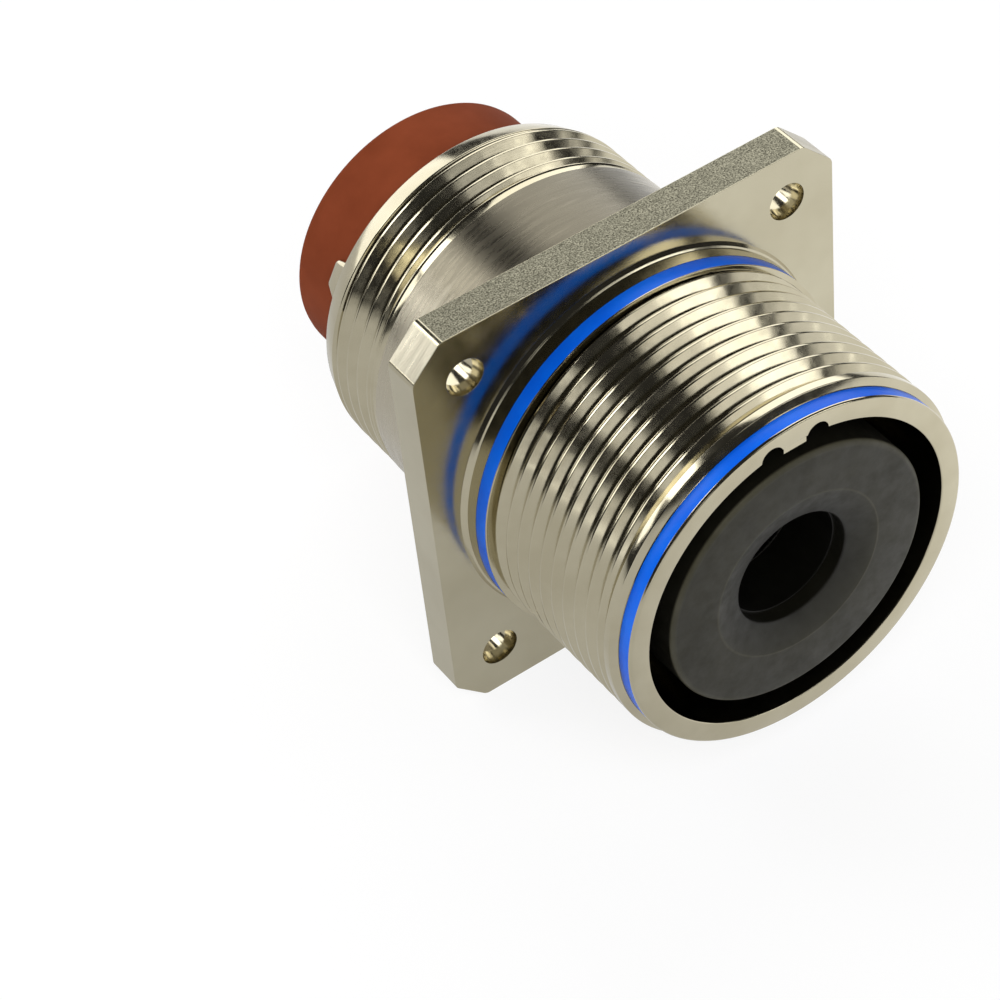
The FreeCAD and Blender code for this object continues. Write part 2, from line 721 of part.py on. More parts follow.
doc.recompute()
for item in doc.Objects:
    if {"Invalid", "Error"} & set(item.State):
        raise RuntimeError("%s failed: %s" % (item.Name, item.State))
for piece in pieces:
    if piece.Shape.isNull() or not piece.Shape.isValid():
        raise RuntimeError("%s has no valid shape" % piece.Label)
    if len(piece.Shape.Solids) != 1:
        raise RuntimeError("%s has %d solids" % (piece.Label, len(piece.Shape.Solids)))
    piece.Shape.exportStep("parts/%s.step" % piece.Label)
    box = piece.Shape.optimalBoundingBox()
    print("%-24s volume %9.2f  y %7.2f to %6.2f  half width %6.3f" % (
        piece.Label, piece.Shape.Volume, box.YMin, box.YMax, box.XMax))
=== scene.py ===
# %% [markdown]
# # A flanged receptacle connector
#
# This lesson dresses a small metal connector: a square flange with a threaded barrel on each
# side, a hard insulator with one large hole, and a soft red seal where the wire comes in. The
# fixed frame holds the exact solids, their places and the one joint. Nothing in it is moved.
# Most of the object was turned on a lathe, so most pieces here are outlines spun about one axis.

# %% Load the fixed frame
import json
import math

import bmesh
import bpy
from mathutils import Matrix, Vector

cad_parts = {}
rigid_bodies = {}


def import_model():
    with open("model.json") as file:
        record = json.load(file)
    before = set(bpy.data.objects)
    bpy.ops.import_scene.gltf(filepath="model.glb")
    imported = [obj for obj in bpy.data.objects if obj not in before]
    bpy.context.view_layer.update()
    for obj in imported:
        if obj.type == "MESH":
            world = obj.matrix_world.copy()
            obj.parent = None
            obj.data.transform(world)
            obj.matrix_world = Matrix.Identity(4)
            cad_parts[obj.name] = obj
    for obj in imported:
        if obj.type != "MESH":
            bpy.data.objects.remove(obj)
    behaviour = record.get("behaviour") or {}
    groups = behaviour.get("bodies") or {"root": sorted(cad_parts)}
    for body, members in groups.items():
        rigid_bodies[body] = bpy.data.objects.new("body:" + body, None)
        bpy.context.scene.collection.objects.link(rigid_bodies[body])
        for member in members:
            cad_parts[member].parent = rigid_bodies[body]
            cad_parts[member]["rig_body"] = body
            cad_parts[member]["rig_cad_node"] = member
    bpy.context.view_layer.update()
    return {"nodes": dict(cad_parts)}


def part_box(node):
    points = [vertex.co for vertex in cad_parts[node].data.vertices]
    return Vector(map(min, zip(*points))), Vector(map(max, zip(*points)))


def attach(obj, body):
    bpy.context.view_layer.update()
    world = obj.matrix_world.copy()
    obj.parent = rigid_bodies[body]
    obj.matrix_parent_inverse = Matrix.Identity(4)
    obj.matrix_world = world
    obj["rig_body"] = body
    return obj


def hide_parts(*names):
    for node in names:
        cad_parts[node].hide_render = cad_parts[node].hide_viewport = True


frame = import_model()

print("nodes:", sorted(frame["nodes"]))

# %% [markdown]
# The frame is in metres. The drawing of a connector is in millimetres, so the outlines below
# are too, and one factor turns them into metres. The axis of the connector is Y: the mating
# face looks towards -Y. Places could be typed in again, but reading them from the frame's own
# boxes keeps each piece on its solid.

# %% Read the main places from the frame
MM = 0.001


def low(node, axis):
    """Lowest coordinate of a node along an axis, in millimetres."""
    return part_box(node)[0][axis] / MM


def high(node, axis):
    """Highest coordinate of a node along an axis, in millimetres."""
    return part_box(node)[1][axis] / MM


FACE = low("shell", 1)
FLANGE_HALF = high("shell", 0)
INSERT_JOINT = high("front_insert", 1)
SEAT_RADIUS = high("front_insert", 0)
BORE_RADIUS = SEAT_RADIUS + 0.04
print("face at %.2f mm, flange half width %.2f mm" % (FACE, FLANGE_HALF))

# %% [markdown]
# ## Tools for turned pieces
#
# An operator acts on everything that is selected, and loading the frame leaves its solids
# selected. So each step first clears the selection, and takes only the piece it works on.

# %% Helpers: select nothing, or one piece
def clear_selection():
    if bpy.context.mode != "OBJECT":
        bpy.ops.object.mode_set(mode="OBJECT")
    bpy.ops.object.select_all(action="DESELECT")


def take(piece):
    """Make a piece the only selected one, and the active one."""
    clear_selection()
    piece.select_set(True)
    bpy.context.view_layer.objects.active = piece


def smooth(degrees):
    """Shade the selected piece smooth, except across edges sharper than this."""
    bpy.ops.object.shade_smooth_by_angle(angle=math.radians(degrees))


def report(piece):
    faces = sum(len(polygon.vertices) - 2 for polygon in piece.data.polygons)
    print("%-22s %6d triangles" % (piece.name, faces))


# %% [markdown]
# On a lathe, a piece is an outline carried round an axis. A tool never leaves a perfectly sharp
# corner, so a corner may carry a radius. Bevel could round it later, but then the narrow rounds
# would have to be picked out of the mesh, so a formula turns the corner into an arc at once.

# %% Helper: round the corners of an outline
def rounded(points, steps=4):
    """Corners are (radius, place) or (radius, place, round). A round becomes a short arc."""
    result = []
    for order, point in enumerate(points):
        if len(point) == 2:
            result.append(point)
            continue
        corner = Vector(point[:2])
        before = Vector(points[order - 1][:2]) - corner
        after = Vector(points[(order + 1) % len(points)][:2]) - corner
        half = before.angle(after) / 2
        reach = point[2] / math.tan(half)
        middle = (before.normalized() + after.normalized()).normalized()
        centre = corner + middle * (point[2] / math.sin(half))
        start = corner + before.normalized() * reach - centre
        end = corner + after.normalized() * reach - centre
        for step in range(steps + 1):
            spoke = start.slerp(end, step / steps).normalized() * point[2]
            result.append(tuple(centre + spoke))
    return result


# %% [markdown]
# To draw the outline, a small plane is merged to a single vertex, which is moved to the first
# corner and extruded from corner to corner. This is what a hand does with the E key.

# %% Helper: draw an outline as a chain of edges
def draw_chain(name, corners):
    clear_selection()
    bpy.ops.mesh.primitive_plane_add(size=MM)
    piece = bpy.context.object
    piece.name = name
    piece.data.name = name
    bpy.ops.object.mode_set(mode="EDIT")
    bpy.ops.mesh.select_mode(type="VERT")
    bpy.ops.mesh.select_all(action="SELECT")
    bpy.ops.mesh.merge(type="CENTER")
    bpy.ops.transform.translate(value=(corners[0][0] * MM, corners[0][1] * MM, 0))
    for here, there in zip(corners, corners[1:]):
        step = ((there[0] - here[0]) * MM, (there[1] - here[1]) * MM, 0)
        bpy.ops.mesh.extrude_vertices_move(TRANSFORM_OT_translate={"value": step})
    return piece


# %% [markdown]
# Spin turns a closed chain about Y. The last copy falls on the first, so doubles are merged,
# and the normals are worked out again, because Spin can leave a ring inside out.

# %% Helper: spin a closed outline into a solid ring
STEPS = 240
MERGE = 1e-6
TURNED_SMOOTH = 28


def turned(name, points, steps=STEPS):
    corners = rounded(points)
    piece = draw_chain(name, corners + corners[:1])
    bpy.ops.mesh.select_all(action="SELECT")
    bpy.ops.mesh.remove_doubles(threshold=MERGE)
    bpy.ops.mesh.select_all(action="SELECT")
    bpy.ops.mesh.spin(steps=steps, angle=math.tau, center=(0, 0, 0), axis=(0, 1, 0))
    bpy.ops.mesh.select_all(action="SELECT")
    bpy.ops.mesh.remove_doubles(threshold=MERGE)
    bpy.ops.mesh.select_all(action="SELECT")
    bpy.ops.mesh.normals_make_consistent(inside=False)
    bpy.ops.object.mode_set(mode="OBJECT")
    smooth(TURNED_SMOOTH)
    return piece


# %% [markdown]
# ## Tools for threads
#
# Both barrels carry a single right-hand thread with a pitch of 1.411 mm. A stack of plain rings
# would be quicker, but it looks wrong where a real groove climbs. A thread is an outline that
# moves along the axis as it turns, which is what the Screw modifier does. One full turn with a
# rise of one pitch brings each groove onto the next, so merging leaves one helical surface.

# %% Helper: draw several grooves in a row
PITCH = 1.411
THREAD_DEPTH = 0.7
CREST = 0.18
CREST_ROUND = 0.06
ROOT_ROUND = 0.05


def groove_outline(radius, groove_at, front, rear):
    """Grooves from front to rear, with a few more than the tube needs."""
    root = radius - THREAD_DEPTH
    half = (PITCH - CREST) / 2
    first = math.floor((front - groove_at) / PITCH) - 2
    last = math.ceil((rear - groove_at) / PITCH) + 1
    corners = [(radius, groove_at + first * PITCH - half - CREST / 2)]
    for turn in range(first, last + 1):
        groove = groove_at + turn * PITCH
        corners += [
            (radius, groove - half, CREST_ROUND),
            (root, groove, ROOT_ROUND),
            (radius, groove + half, CREST_ROUND),
        ]
    corners.append((radius, groove_at + last * PITCH + half + CREST / 2))
    return rounded(corners, steps=3)


# %% [markdown]
# The swept tube is longer than it has to be, and both ends climb with the helix. Bisect cuts
# them square. Each cut edge is extruded and drawn inwards, under the core, so no gap shows.

# %% Helpers: sweep the grooves, and trim both ends
END_SHRINK = 0.94


def trim_end(place, outwards):
    bpy.ops.mesh.select_all(action="SELECT")
    bpy.ops.mesh.bisect(plane_co=(0, place * MM, 0), plane_no=(0, outwards, 0), clear_outer=True)
    bpy.ops.mesh.extrude_edges_move()
    bpy.ops.transform.resize(value=(END_SHRINK, 1, END_SHRINK), center_override=(0, 0, 0))


def threaded_tube(name, radius, groove_at, front, rear):
    piece = draw_chain(name, groove_outline(radius, groove_at, front, rear))
    bpy.ops.object.mode_set(mode="OBJECT")
    sweep = piece.modifiers.new("sweep", "SCREW")
    sweep.axis = "Y"
    sweep.angle = math.tau
    sweep.screw_offset = PITCH * MM
    sweep.steps = STEPS
    sweep.render_steps = STEPS
    bpy.ops.object.modifier_apply(modifier=sweep.name)
    bpy.ops.object.mode_set(mode="EDIT")
    bpy.ops.mesh.select_all(action="SELECT")
    bpy.ops.mesh.remove_doubles(threshold=MERGE)
    trim_end(rear, 1)
    trim_end(front, -1)
    bpy.ops.mesh.select_all(action="SELECT")
    bpy.ops.mesh.normals_make_consistent(inside=False)
    bpy.ops.object.mode_set(mode="OBJECT")
    smooth(TURNED_SMOOTH)
    return piece


# %% [markdown]
# Smooth shading blends the light across an edge. On a thread it would blend over the whole
# flank, which looks swollen. Setting the normals from the flank faces alone leaves the blend
# to the narrow rounds between them, as on real polished metal. A flank is known by its slope.

# %% Helper: shade a thread's flanks flat
FLANK_SLOPE = THREAD_DEPTH / math.hypot(THREAD_DEPTH, (PITCH - CREST) / 2)
SLOPE_MARGIN = 0.02


def flat_flanks(piece):
    take(piece)
    bpy.ops.object.mode_set(mode="EDIT")
    bpy.ops.mesh.select_mode(type="FACE")
    bpy.ops.mesh.select_all(action="DESELECT")
    mesh = bmesh.from_edit_mesh(piece.data)
    for face in mesh.faces:
        face.select_set(abs(abs(face.normal.y) - FLANK_SLOPE) < SLOPE_MARGIN)
    bmesh.update_edit_mesh(piece.data)
    bpy.ops.mesh.set_normals_from_faces(keep_sharp=True)
    bpy.ops.object.mode_set(mode="OBJECT")


# %% [markdown]
# ## Tools for cutting and joining
#
# Holes, notches and slots are cut as in a workshop: a bar or a block in the tool's shape is
# taken away with a Boolean, and the tool is thrown away. The exact solver is slower than the
# fast one, and it copes with faces that touch.

# %% Helper: cut or add a tool's shape
def shaped_by(piece, tool, action="DIFFERENCE"):
    take(piece)
    shaping = piece.modifiers.new("shaping", "BOOLEAN")
    shaping.object = tool
    shaping.operation = action
    shaping.solver = "EXACT"
    bpy.ops.object.modifier_apply(modifier=shaping.name)
    bpy.data.objects.remove(tool, do_unlink=True)


# %% [markdown]
# Both tools are primitives, added at their size and place. Applying the transform puts that
# place into the mesh, so that the tool's origin lies where the connector's does.

# %% Helpers: a bar and a block to cut with
def rod(radius, front, rear, across=0.0, up=0.0, sides=64):
    """A round bar along Y."""
    clear_selection()
    bpy.ops.mesh.primitive_cylinder_add(
        vertices=sides, radius=radius * MM, depth=(rear - front) * MM,
        location=(across * MM, (front + rear) / 2 * MM, up * MM), rotation=(math.pi / 2, 0, 0))
    bpy.ops.object.transform_apply(location=True, rotation=True, scale=True)
    return bpy.context.object


def block(low_corner, high_corner):
    clear_selection()
    middle = [(a + b) / 2 * MM for a, b in zip(low_corner, high_corner)]
    size = [(b - a) * MM for a, b in zip(low_corner, high_corner)]
    bpy.ops.mesh.primitive_cube_add(size=1, location=middle, scale=size)
    bpy.ops.object.transform_apply(location=True, rotation=True, scale=True)
    return bpy.context.object


# %% [markdown]
# A barrel and its thread are of one material and never part, so they are joined. Join only
# puts their meshes together. Where they overlap, the thread simply covers the core.

# %% Helper: join pieces
def joined(name, pieces):
    clear_selection()
    for piece in pieces:
        piece.select_set(True)
    bpy.context.view_layer.objects.active = pieces[0]
    bpy.ops.object.join()
    pieces[0].name = name
    pieces[0].data.name = name
    return pieces[0]


# %% [markdown]
# ## The front barrel
#
# The barrel that the plug screws onto: a rounded rim, a shallow groove for the first blue band,
# a plain land, the thread, a relief, and a collar with the second band's groove. Under the
# thread the solid ring is only as thick as the thread's root, and the helical tube lies over it.

# %% Turn the front barrel's core
THREAD_RADIUS = 15.875
CORE_RADIUS = THREAD_RADIUS - THREAD_DEPTH - 0.05
NOSE_RADIUS = high("front_band", 0) + 0.02
COLLAR_RADIUS = high("rear_band", 0) + 0.02
COLLAR_FOOT = COLLAR_RADIUS + 0.36
CAVITY_RADIUS = 13.55
WEB_RADIUS = 11.66
BAND_DEPTH = 0.12
BAND_FRONT = low("front_band", 1) - 0.01
BAND_REAR = high("front_band", 1) + 0.01
LAND_REAR = FACE + 2.45
COLLAR_FRONT = -2.85
SECOND_BAND_FRONT = COLLAR_FRONT + 0.12
SECOND_BAND_REAR = COLLAR_FRONT + 1.37
CAVITY_FLOOR = FACE + 14.8
WEB_REAR = CAVITY_FLOOR + 2.0
front_core = turned("front_core", [
    (CAVITY_RADIUS, FACE, 0.12),
    (NOSE_RADIUS, FACE, 0.21),
    (NOSE_RADIUS, BAND_FRONT),
    (NOSE_RADIUS - BAND_DEPTH, BAND_FRONT),
    (NOSE_RADIUS - BAND_DEPTH, BAND_REAR),
    (NOSE_RADIUS, BAND_REAR),
    (NOSE_RADIUS, FACE + 1.47),
    (THREAD_RADIUS, FACE + 1.78, 0.1),
    (THREAD_RADIUS, LAND_REAR, 0.05),
    (CORE_RADIUS, LAND_REAR + 0.02),
    (CORE_RADIUS, COLLAR_FRONT, 0.12),
    (COLLAR_RADIUS, COLLAR_FRONT, 0.06),
    (COLLAR_RADIUS, SECOND_BAND_FRONT),
    (COLLAR_RADIUS - BAND_DEPTH, SECOND_BAND_FRONT),
    (COLLAR_RADIUS - BAND_DEPTH, SECOND_BAND_REAR),
    (COLLAR_RADIUS, SECOND_BAND_REAR),
    (COLLAR_RADIUS, -0.42, 0.1),
    (COLLAR_RADIUS + 0.16, -0.32, 0.1),
    (COLLAR_FOOT, 0.0),
    (COLLAR_FOOT, 0.3),
    (BORE_RADIUS, 0.3),
    (BORE_RADIUS, WEB_REAR),
    (WEB_RADIUS, WEB_REAR),
    (WEB_RADIUS, CAVITY_FLOOR),
    (CAVITY_RADIUS, CAVITY_FLOOR),
])
print("rim radius %.2f mm, cavity floor at %.2f mm" % (NOSE_RADIUS, CAVITY_FLOOR))

# %% [markdown]
# The key that lines up the plug is a small tooth at the top of the cavity, with a round notch
# on each side of it. A real shell is broached there. Both are made with Booleans here, because
# the notches are plain bars: two bars are cut away and a block is added.

# %% Cut the key's notches and add the key
NOTCH_ANGLE = math.radians(8.6)
NOTCH_AT = 13.42
NOTCH_RADIUS = 0.97
for side in (-1, 1):
    across = side * NOTCH_AT * math.sin(NOTCH_ANGLE)
    upwards = NOTCH_AT * math.cos(NOTCH_ANGLE)
    notch = rod(NOTCH_RADIUS, FACE - 1, CAVITY_FLOOR, across, upwards, sides=48)
    shaped_by(front_core, notch)
key = block((-1.0, FACE + 0.06, 13.05), (1.0, CAVITY_FLOOR + 0.2, 14.0))
shaped_by(front_core, key, "UNION")
report(front_core)

# %% [markdown]
# The thread's tube goes over the core. Its crests lie a hundredth of a millimetre under the
# land's radius, so that the two surfaces never share a plane and flicker.

# %% Add the front thread
GROOVE_AT = -3.5
THREAD_REAR = -2.95
SINK = 0.01
front_thread = threaded_tube(
    "front_thread", THREAD_RADIUS - SINK, GROOVE_AT, LAND_REAR - 0.12, THREAD_REAR)
flat_flanks(front_thread)
front_barrel = joined("front_barrel", [front_core, front_thread])
report(front_barrel)

# %% [markdown]
# ## The flange
#
# A square plate with cut corners and four screw holes. The corners are bevelled twice: once
# wide and flat for the cut, then a little to soften its two edges. The edges are found by their
# direction, since those along Y are the corner edges. The holes are Booleans.

# %% Make the flange
FLANGE_THICKNESS = 3.2
CORNER_CUT = 2.65
CORNER_ROUND = 0.3
HOLE_AT = 29.36 / 2
HOLE_RADIUS = 1.6


def select_corner_edges(piece):
    """Select the edges along Y that lie at the plate's outer corners."""
    mesh = bmesh.from_edit_mesh(piece.data)
    for edge in mesh.edges:
        direction = edge.verts[0].co - edge.verts[1].co
        edge.select_set(abs(direction.y) > 0.9 * direction.length)
    bmesh.update_edit_mesh(piece.data)


flange = block((-FLANGE_HALF, 0, -FLANGE_HALF), (FLANGE_HALF, FLANGE_THICKNESS, FLANGE_HALF))
flange.name = "flange_plate"
bpy.ops.object.mode_set(mode="EDIT")
bpy.ops.mesh.select_mode(type="EDGE")
for width, segments in ((CORNER_CUT, 1), (CORNER_ROUND, 3)):
    bpy.ops.mesh.select_all(action="DESELECT")
    select_corner_edges(flange)
    bpy.ops.mesh.bevel(offset=width * MM, segments=segments, affect="EDGES")
bpy.ops.object.mode_set(mode="OBJECT")
for across in (-HOLE_AT, HOLE_AT):
    for up in (-HOLE_AT, HOLE_AT):
        shaped_by(flange, rod(HOLE_RADIUS, -1, FLANGE_THICKNESS + 1, across, up))
shaped_by(flange, rod(BORE_RADIUS, -1, FLANGE_THICKNESS + 1, sides=STEPS))
report(flange)

# %% [markdown]
# A last narrow bevel runs round every edge, and it is what catches the light on real plate. The
# Weighted Normal modifier then keeps the broad faces flat, so that only the bevel is shaded
# round.

# %% Bevel the flange's edges
take(flange)
edge_bevel = flange.modifiers.new("edge_bevel", "BEVEL")
edge_bevel.width = 0.2 * MM
edge_bevel.segments = 2
edge_bevel.limit_method = "ANGLE"
edge_bevel.angle_limit = math.radians(50)
bpy.ops.object.modifier_apply(modifier=edge_bevel.name)
smooth(35)
even = flange.modifiers.new("even", "WEIGHTED_NORMAL")
even.keep_sharp = True
bpy.ops.object.modifier_apply(modifier=even.name)
report(flange)

# %% [markdown]
# ## The rear barrel
#
# A plain neck, a narrow relief and a short thread for the cable clamp, then a sloping lip. It is
# made as the front barrel is: a spun core under a helical tube.

# %% Turn the rear barrel and its thread
NECK_RADIUS = 15.12
NECK_END = 13.85
RELIEF_DEPTH = 0.14
RELIEF_END = 14.6
REAR_THREAD_RADIUS = 15.08
REAR_CORE_RADIUS = REAR_THREAD_RADIUS - THREAD_DEPTH - 0.05
REAR_GROOVE_AT = 15.15
LIP_START = 20.2
LIP_RADIUS = 14.4
SHELL_END = 22.15
rear_core = turned("rear_core", [
    (BORE_RADIUS, 2.9),
    (NECK_RADIUS + 0.3, 2.9),
    (NECK_RADIUS + 0.3, FLANGE_THICKNESS),
    (NECK_RADIUS, FLANGE_THICKNESS + 0.3, 0.2),
    (NECK_RADIUS, NECK_END, 0.06),
    (NECK_RADIUS - RELIEF_DEPTH, NECK_END + 0.1, 0.05),
    (NECK_RADIUS - RELIEF_DEPTH, RELIEF_END - 0.1, 0.05),
    (REAR_THREAD_RADIUS, RELIEF_END, 0.05),
    (REAR_THREAD_RADIUS, RELIEF_END + 0.12, 0.05),
    (REAR_CORE_RADIUS, RELIEF_END + 0.14),
    (REAR_CORE_RADIUS, LIP_START - 0.4),
    (REAR_THREAD_RADIUS - 0.03, LIP_START, 0.1),
    (LIP_RADIUS, SHELL_END, 0.25),
    (BORE_RADIUS, SHELL_END, 0.15),
])
rear_thread = threaded_tube(
    "rear_thread", REAR_THREAD_RADIUS - SINK, REAR_GROOVE_AT, RELIEF_END + 0.05, LIP_START - 0.1)
report(rear_thread)

# %% [markdown]
# One rounded tooth stands on the lip's end and stops the clamp from turning. It starts as a
# block that reaches into the lip. Its free end is scaled narrower, its outer edge is moved
# inwards to follow the lip's slope, and Bevel rounds it before it is turned into place.

# %% Model the tooth on the rear lip
TOOTH_ANGLE = 150.0
TOOTH_HALF = 1.9
TOOTH_HEIGHT = 1.6
TOOTH_TAPER = 0.6
TOOTH_SLOPE = 0.5
tooth = block((-TOOTH_HALF, SHELL_END - 0.5, BORE_RADIUS + 0.1),
              (TOOTH_HALF, SHELL_END + TOOTH_HEIGHT, LIP_RADIUS))
tooth.name = "rear_tooth"
bpy.ops.object.mode_set(mode="EDIT")
bpy.ops.mesh.select_all(action="DESELECT")
mesh = bmesh.from_edit_mesh(tooth.data)
for vertex in mesh.verts:
    vertex.select_set(vertex.co.y > SHELL_END * MM)
bmesh.update_edit_mesh(tooth.data)
bpy.ops.transform.resize(value=(TOOTH_TAPER, 1, 1), center_override=(0, 0, 0))
for vertex in mesh.verts:
    outer = vertex.co.z > (LIP_RADIUS - 0.1) * MM
    vertex.select_set(vertex.co.y > SHELL_END * MM and outer)
bmesh.update_edit_mesh(tooth.data)
bpy.ops.transform.translate(value=(0, 0, -TOOTH_SLOPE * MM))
bpy.ops.object.mode_set(mode="OBJECT")
softening = tooth.modifiers.new("softening", "BEVEL")
softening.width = 0.45 * MM
softening.segments = 5
bpy.ops.object.modifier_apply(modifier=softening.name)
tooth.rotation_euler = (0, math.radians(90 - TOOTH_ANGLE), 0)
bpy.ops.object.transform_apply(location=True, rotation=True, scale=True)
smooth(40)
flat_flanks(rear_thread)
rear_barrel = joined("rear_barrel", [rear_core, rear_thread, tooth])
report(rear_barrel)

# %% [markdown]
# ## Insulators, seal and bands
#
# The front insulator is moulded hard plastic. Its face is level with the rim, and its hole opens
# in a shallow funnel that leads the pin in. The rear one traps the clip behind it. Both are
# round, so both are spun.

# %% Turn the insulators
CONTACT_MOUTH = low("contact_hood", 1)
HOOD_RADIUS = high("contact_hood", 0)
GROMMET_FRONT = low("grommet", 1)
FACE_RADIUS = 11.62
FUNNEL_RADIUS = 7.38
FUNNEL_FOOT_RADIUS = 4.92
PIN_HOLE_RADIUS = 4.75
CLIP_RECESS_RADIUS = 9.3
PASSAGE_RADIUS = 7.95
front_insulator = turned("front_insulator", [
    (FUNNEL_RADIUS, FACE, 0.05),
    (FACE_RADIUS, FACE, 0.4),
    (FACE_RADIUS, WEB_REAR),
    (SEAT_RADIUS, WEB_REAR),
    (SEAT_RADIUS, INSERT_JOINT),
    (HOOD_RADIUS + 0.3, INSERT_JOINT),
    (HOOD_RADIUS + 0.3, CONTACT_MOUTH - 0.3),
    (PIN_HOLE_RADIUS, CONTACT_MOUTH - 0.3),
    (PIN_HOLE_RADIUS, FACE + 2.0, 0.08),
    (FUNNEL_FOOT_RADIUS, FACE + 2.0),
    (FUNNEL_FOOT_RADIUS, FACE + 0.8, 0.2),
])
rear_insulator = turned("rear_insulator", [
    (CLIP_RECESS_RADIUS, INSERT_JOINT),
    (SEAT_RADIUS, INSERT_JOINT),
    (SEAT_RADIUS, GROMMET_FRONT),
    (PASSAGE_RADIUS, GROMMET_FRONT, 0.1),
    (PASSAGE_RADIUS, GROMMET_FRONT - 1.0, 0.1),
    (CLIP_RECESS_RADIUS, GROMMET_FRONT - 1.0),
], steps=128)
report(front_insulator)
report(rear_insulator)

# %% [markdown]
# The seal is soft silicone with three round lips inside, which grip the wire. The lips could be
# rings of their own, but one outline with a loop for its lips stays one closed piece.

# %% Turn the soft seal
GROMMET_END = high("grommet", 1)
SEAL_RADIUS = 11.92
SEAL_STEP = SHELL_END - 0.95
SEAL_LIP_RADIUS = 7.75
SEAL_LIP_PITCH = 3.2
SEAL_LIPS = 3
seal_points = [
    (PASSAGE_RADIUS, GROMMET_FRONT),
    (SEAT_RADIUS, GROMMET_FRONT),
    (SEAT_RADIUS, SEAL_STEP, 0.1),
    (SEAL_RADIUS, SEAL_STEP, 0.1),
    (SEAL_RADIUS, GROMMET_END, 0.5),
    (PASSAGE_RADIUS, GROMMET_END, 0.4),
]
for order in range(SEAL_LIPS):
    back = GROMMET_END - (order + 1) * SEAL_LIP_PITCH + 1.0
    seal_points += [
        (PASSAGE_RADIUS, back),
        (SEAL_LIP_RADIUS, back - 0.35, 0.2),
        (SEAL_LIP_RADIUS, back - 0.65, 0.2),
        (PASSAGE_RADIUS, back - 1.0),
    ]
wire_seal = turned("wire_seal", seal_points, steps=160)
report(wire_seal)

# %% [markdown]
# Each blue band is enamel that fills a groove of the barrel. Paint on the barrel's own faces
# would end in steps, so each band is a thin ring whose outer face is a little crowned.

# %% Fill the two band grooves
def enamel_band(name, radius, front, rear):
    floor = radius - BAND_DEPTH
    return turned(name, [
        (floor - 0.04, front),
        (radius - 0.03, front, 0.02),
        (radius - 0.005, (front + rear) / 2),
        (radius - 0.03, rear, 0.02),
        (floor - 0.04, rear),
    ])


front_enamel = enamel_band("front_enamel", NOSE_RADIUS, BAND_FRONT, BAND_REAR)
rear_enamel = enamel_band("rear_enamel", COLLAR_RADIUS, SECOND_BAND_FRONT, SECOND_BAND_REAR)
report(front_enamel)
report(rear_enamel)

# %% [markdown]
# ## The contact
#
# The socket contact is turned from copper and silver plated. It has a hollow front for the pin,
# a thinner waist under the hood, a collar that the clip holds, and a hollow rear end that the
# wire is crimped into. It is one outline from the front of the tines to the end of the barrel.

# %% Turn the contact
HOOD_END = high("contact_hood", 1)
CONTACT_END = high("contact_body", 1)
CRIMP_RADIUS = high("contact_marking_broad", 0)
CONTACT_COLLAR_RADIUS = high("contact_body", 0)
CONTACT_COLLAR_END = INSERT_JOINT + 2.6
TINE_FRONT = CONTACT_MOUTH + 0.6
TINE_RADIUS = 5.8
TINE_BORE = 4.85
TINE_DEPTH = 14.5
HOOD_SEAT_RADIUS = HOOD_RADIUS - 0.32
HOOD_SEAT_LENGTH = 4.0
CRIMP_BORE = 5.3
CRIMP_DEPTH = 12.0
socket = turned("socket_contact", [
    (TINE_BORE, TINE_FRONT, 0.1),
    (TINE_RADIUS, TINE_FRONT, 0.25),
    (TINE_RADIUS, HOOD_END - HOOD_SEAT_LENGTH),
    (HOOD_SEAT_RADIUS, HOOD_END - HOOD_SEAT_LENGTH),
    (HOOD_SEAT_RADIUS, HOOD_END),
    (TINE_RADIUS + 0.05, HOOD_END),
    (TINE_RADIUS + 0.05, INSERT_JOINT, 0.25),
    (CONTACT_COLLAR_RADIUS - 0.45, INSERT_JOINT, 0.1),
    (CONTACT_COLLAR_RADIUS, INSERT_JOINT + 0.45, 0.15),
    (CONTACT_COLLAR_RADIUS, CONTACT_COLLAR_END, 0.12),
    (CRIMP_RADIUS, CONTACT_COLLAR_END, 0.2),
    (CRIMP_RADIUS, CONTACT_END, 0.35),
    (CRIMP_BORE, CONTACT_END, 0.2),
    (CRIMP_BORE, CONTACT_END - CRIMP_DEPTH),
    (0.0, CONTACT_END - CRIMP_DEPTH - 1.7),
    (0.0, TINE_FRONT + TINE_DEPTH),
    (TINE_BORE, TINE_FRONT + TINE_DEPTH),
], steps=144)
print("contact from %.2f to %.2f mm" % (TINE_FRONT, CONTACT_END))

# %% [markdown]
# The front is slotted into six springy tines. A saw cuts right across, so three blocks at 60
# degrees make all six slots. A small hole in the crimp barrel shows that the wire is fully in.

# %% Cut the slots and the sight hole
SLOT_HALF = 0.15
SLOT_LENGTH = 11
SLOT_CUTS = 3
SIGHT_RADIUS = 0.65
SIGHT_FROM_END = 11.2
for cut in range(SLOT_CUTS):
    saw = block((-SLOT_HALF, TINE_FRONT - 1, -7), (SLOT_HALF, TINE_FRONT + SLOT_LENGTH, 7))
    saw.rotation_euler = (0, math.pi * cut / SLOT_CUTS, 0)
    bpy.ops.object.transform_apply(location=True, rotation=True, scale=True)
    shaped_by(socket, saw)
sight = rod(SIGHT_RADIUS, 0, 8, sides=32)
sight.rotation_euler = (math.pi / 2, 0, 0)
sight.location = (0, (CONTACT_END - SIGHT_FROM_END) * MM, 0)
bpy.ops.object.transform_apply(location=True, rotation=True, scale=True)
shaped_by(socket, sight)
take(socket)
smooth(TURNED_SMOOTH)
report(socket)

# %% [markdown]
# A thin steel hood is pressed over the tines and keeps them from spreading. The crimp barrel
# carries three painted rings that tell its size. Each is a ring of its own, because the frame
# has a node for each, and a loop makes them from those nodes' boxes.

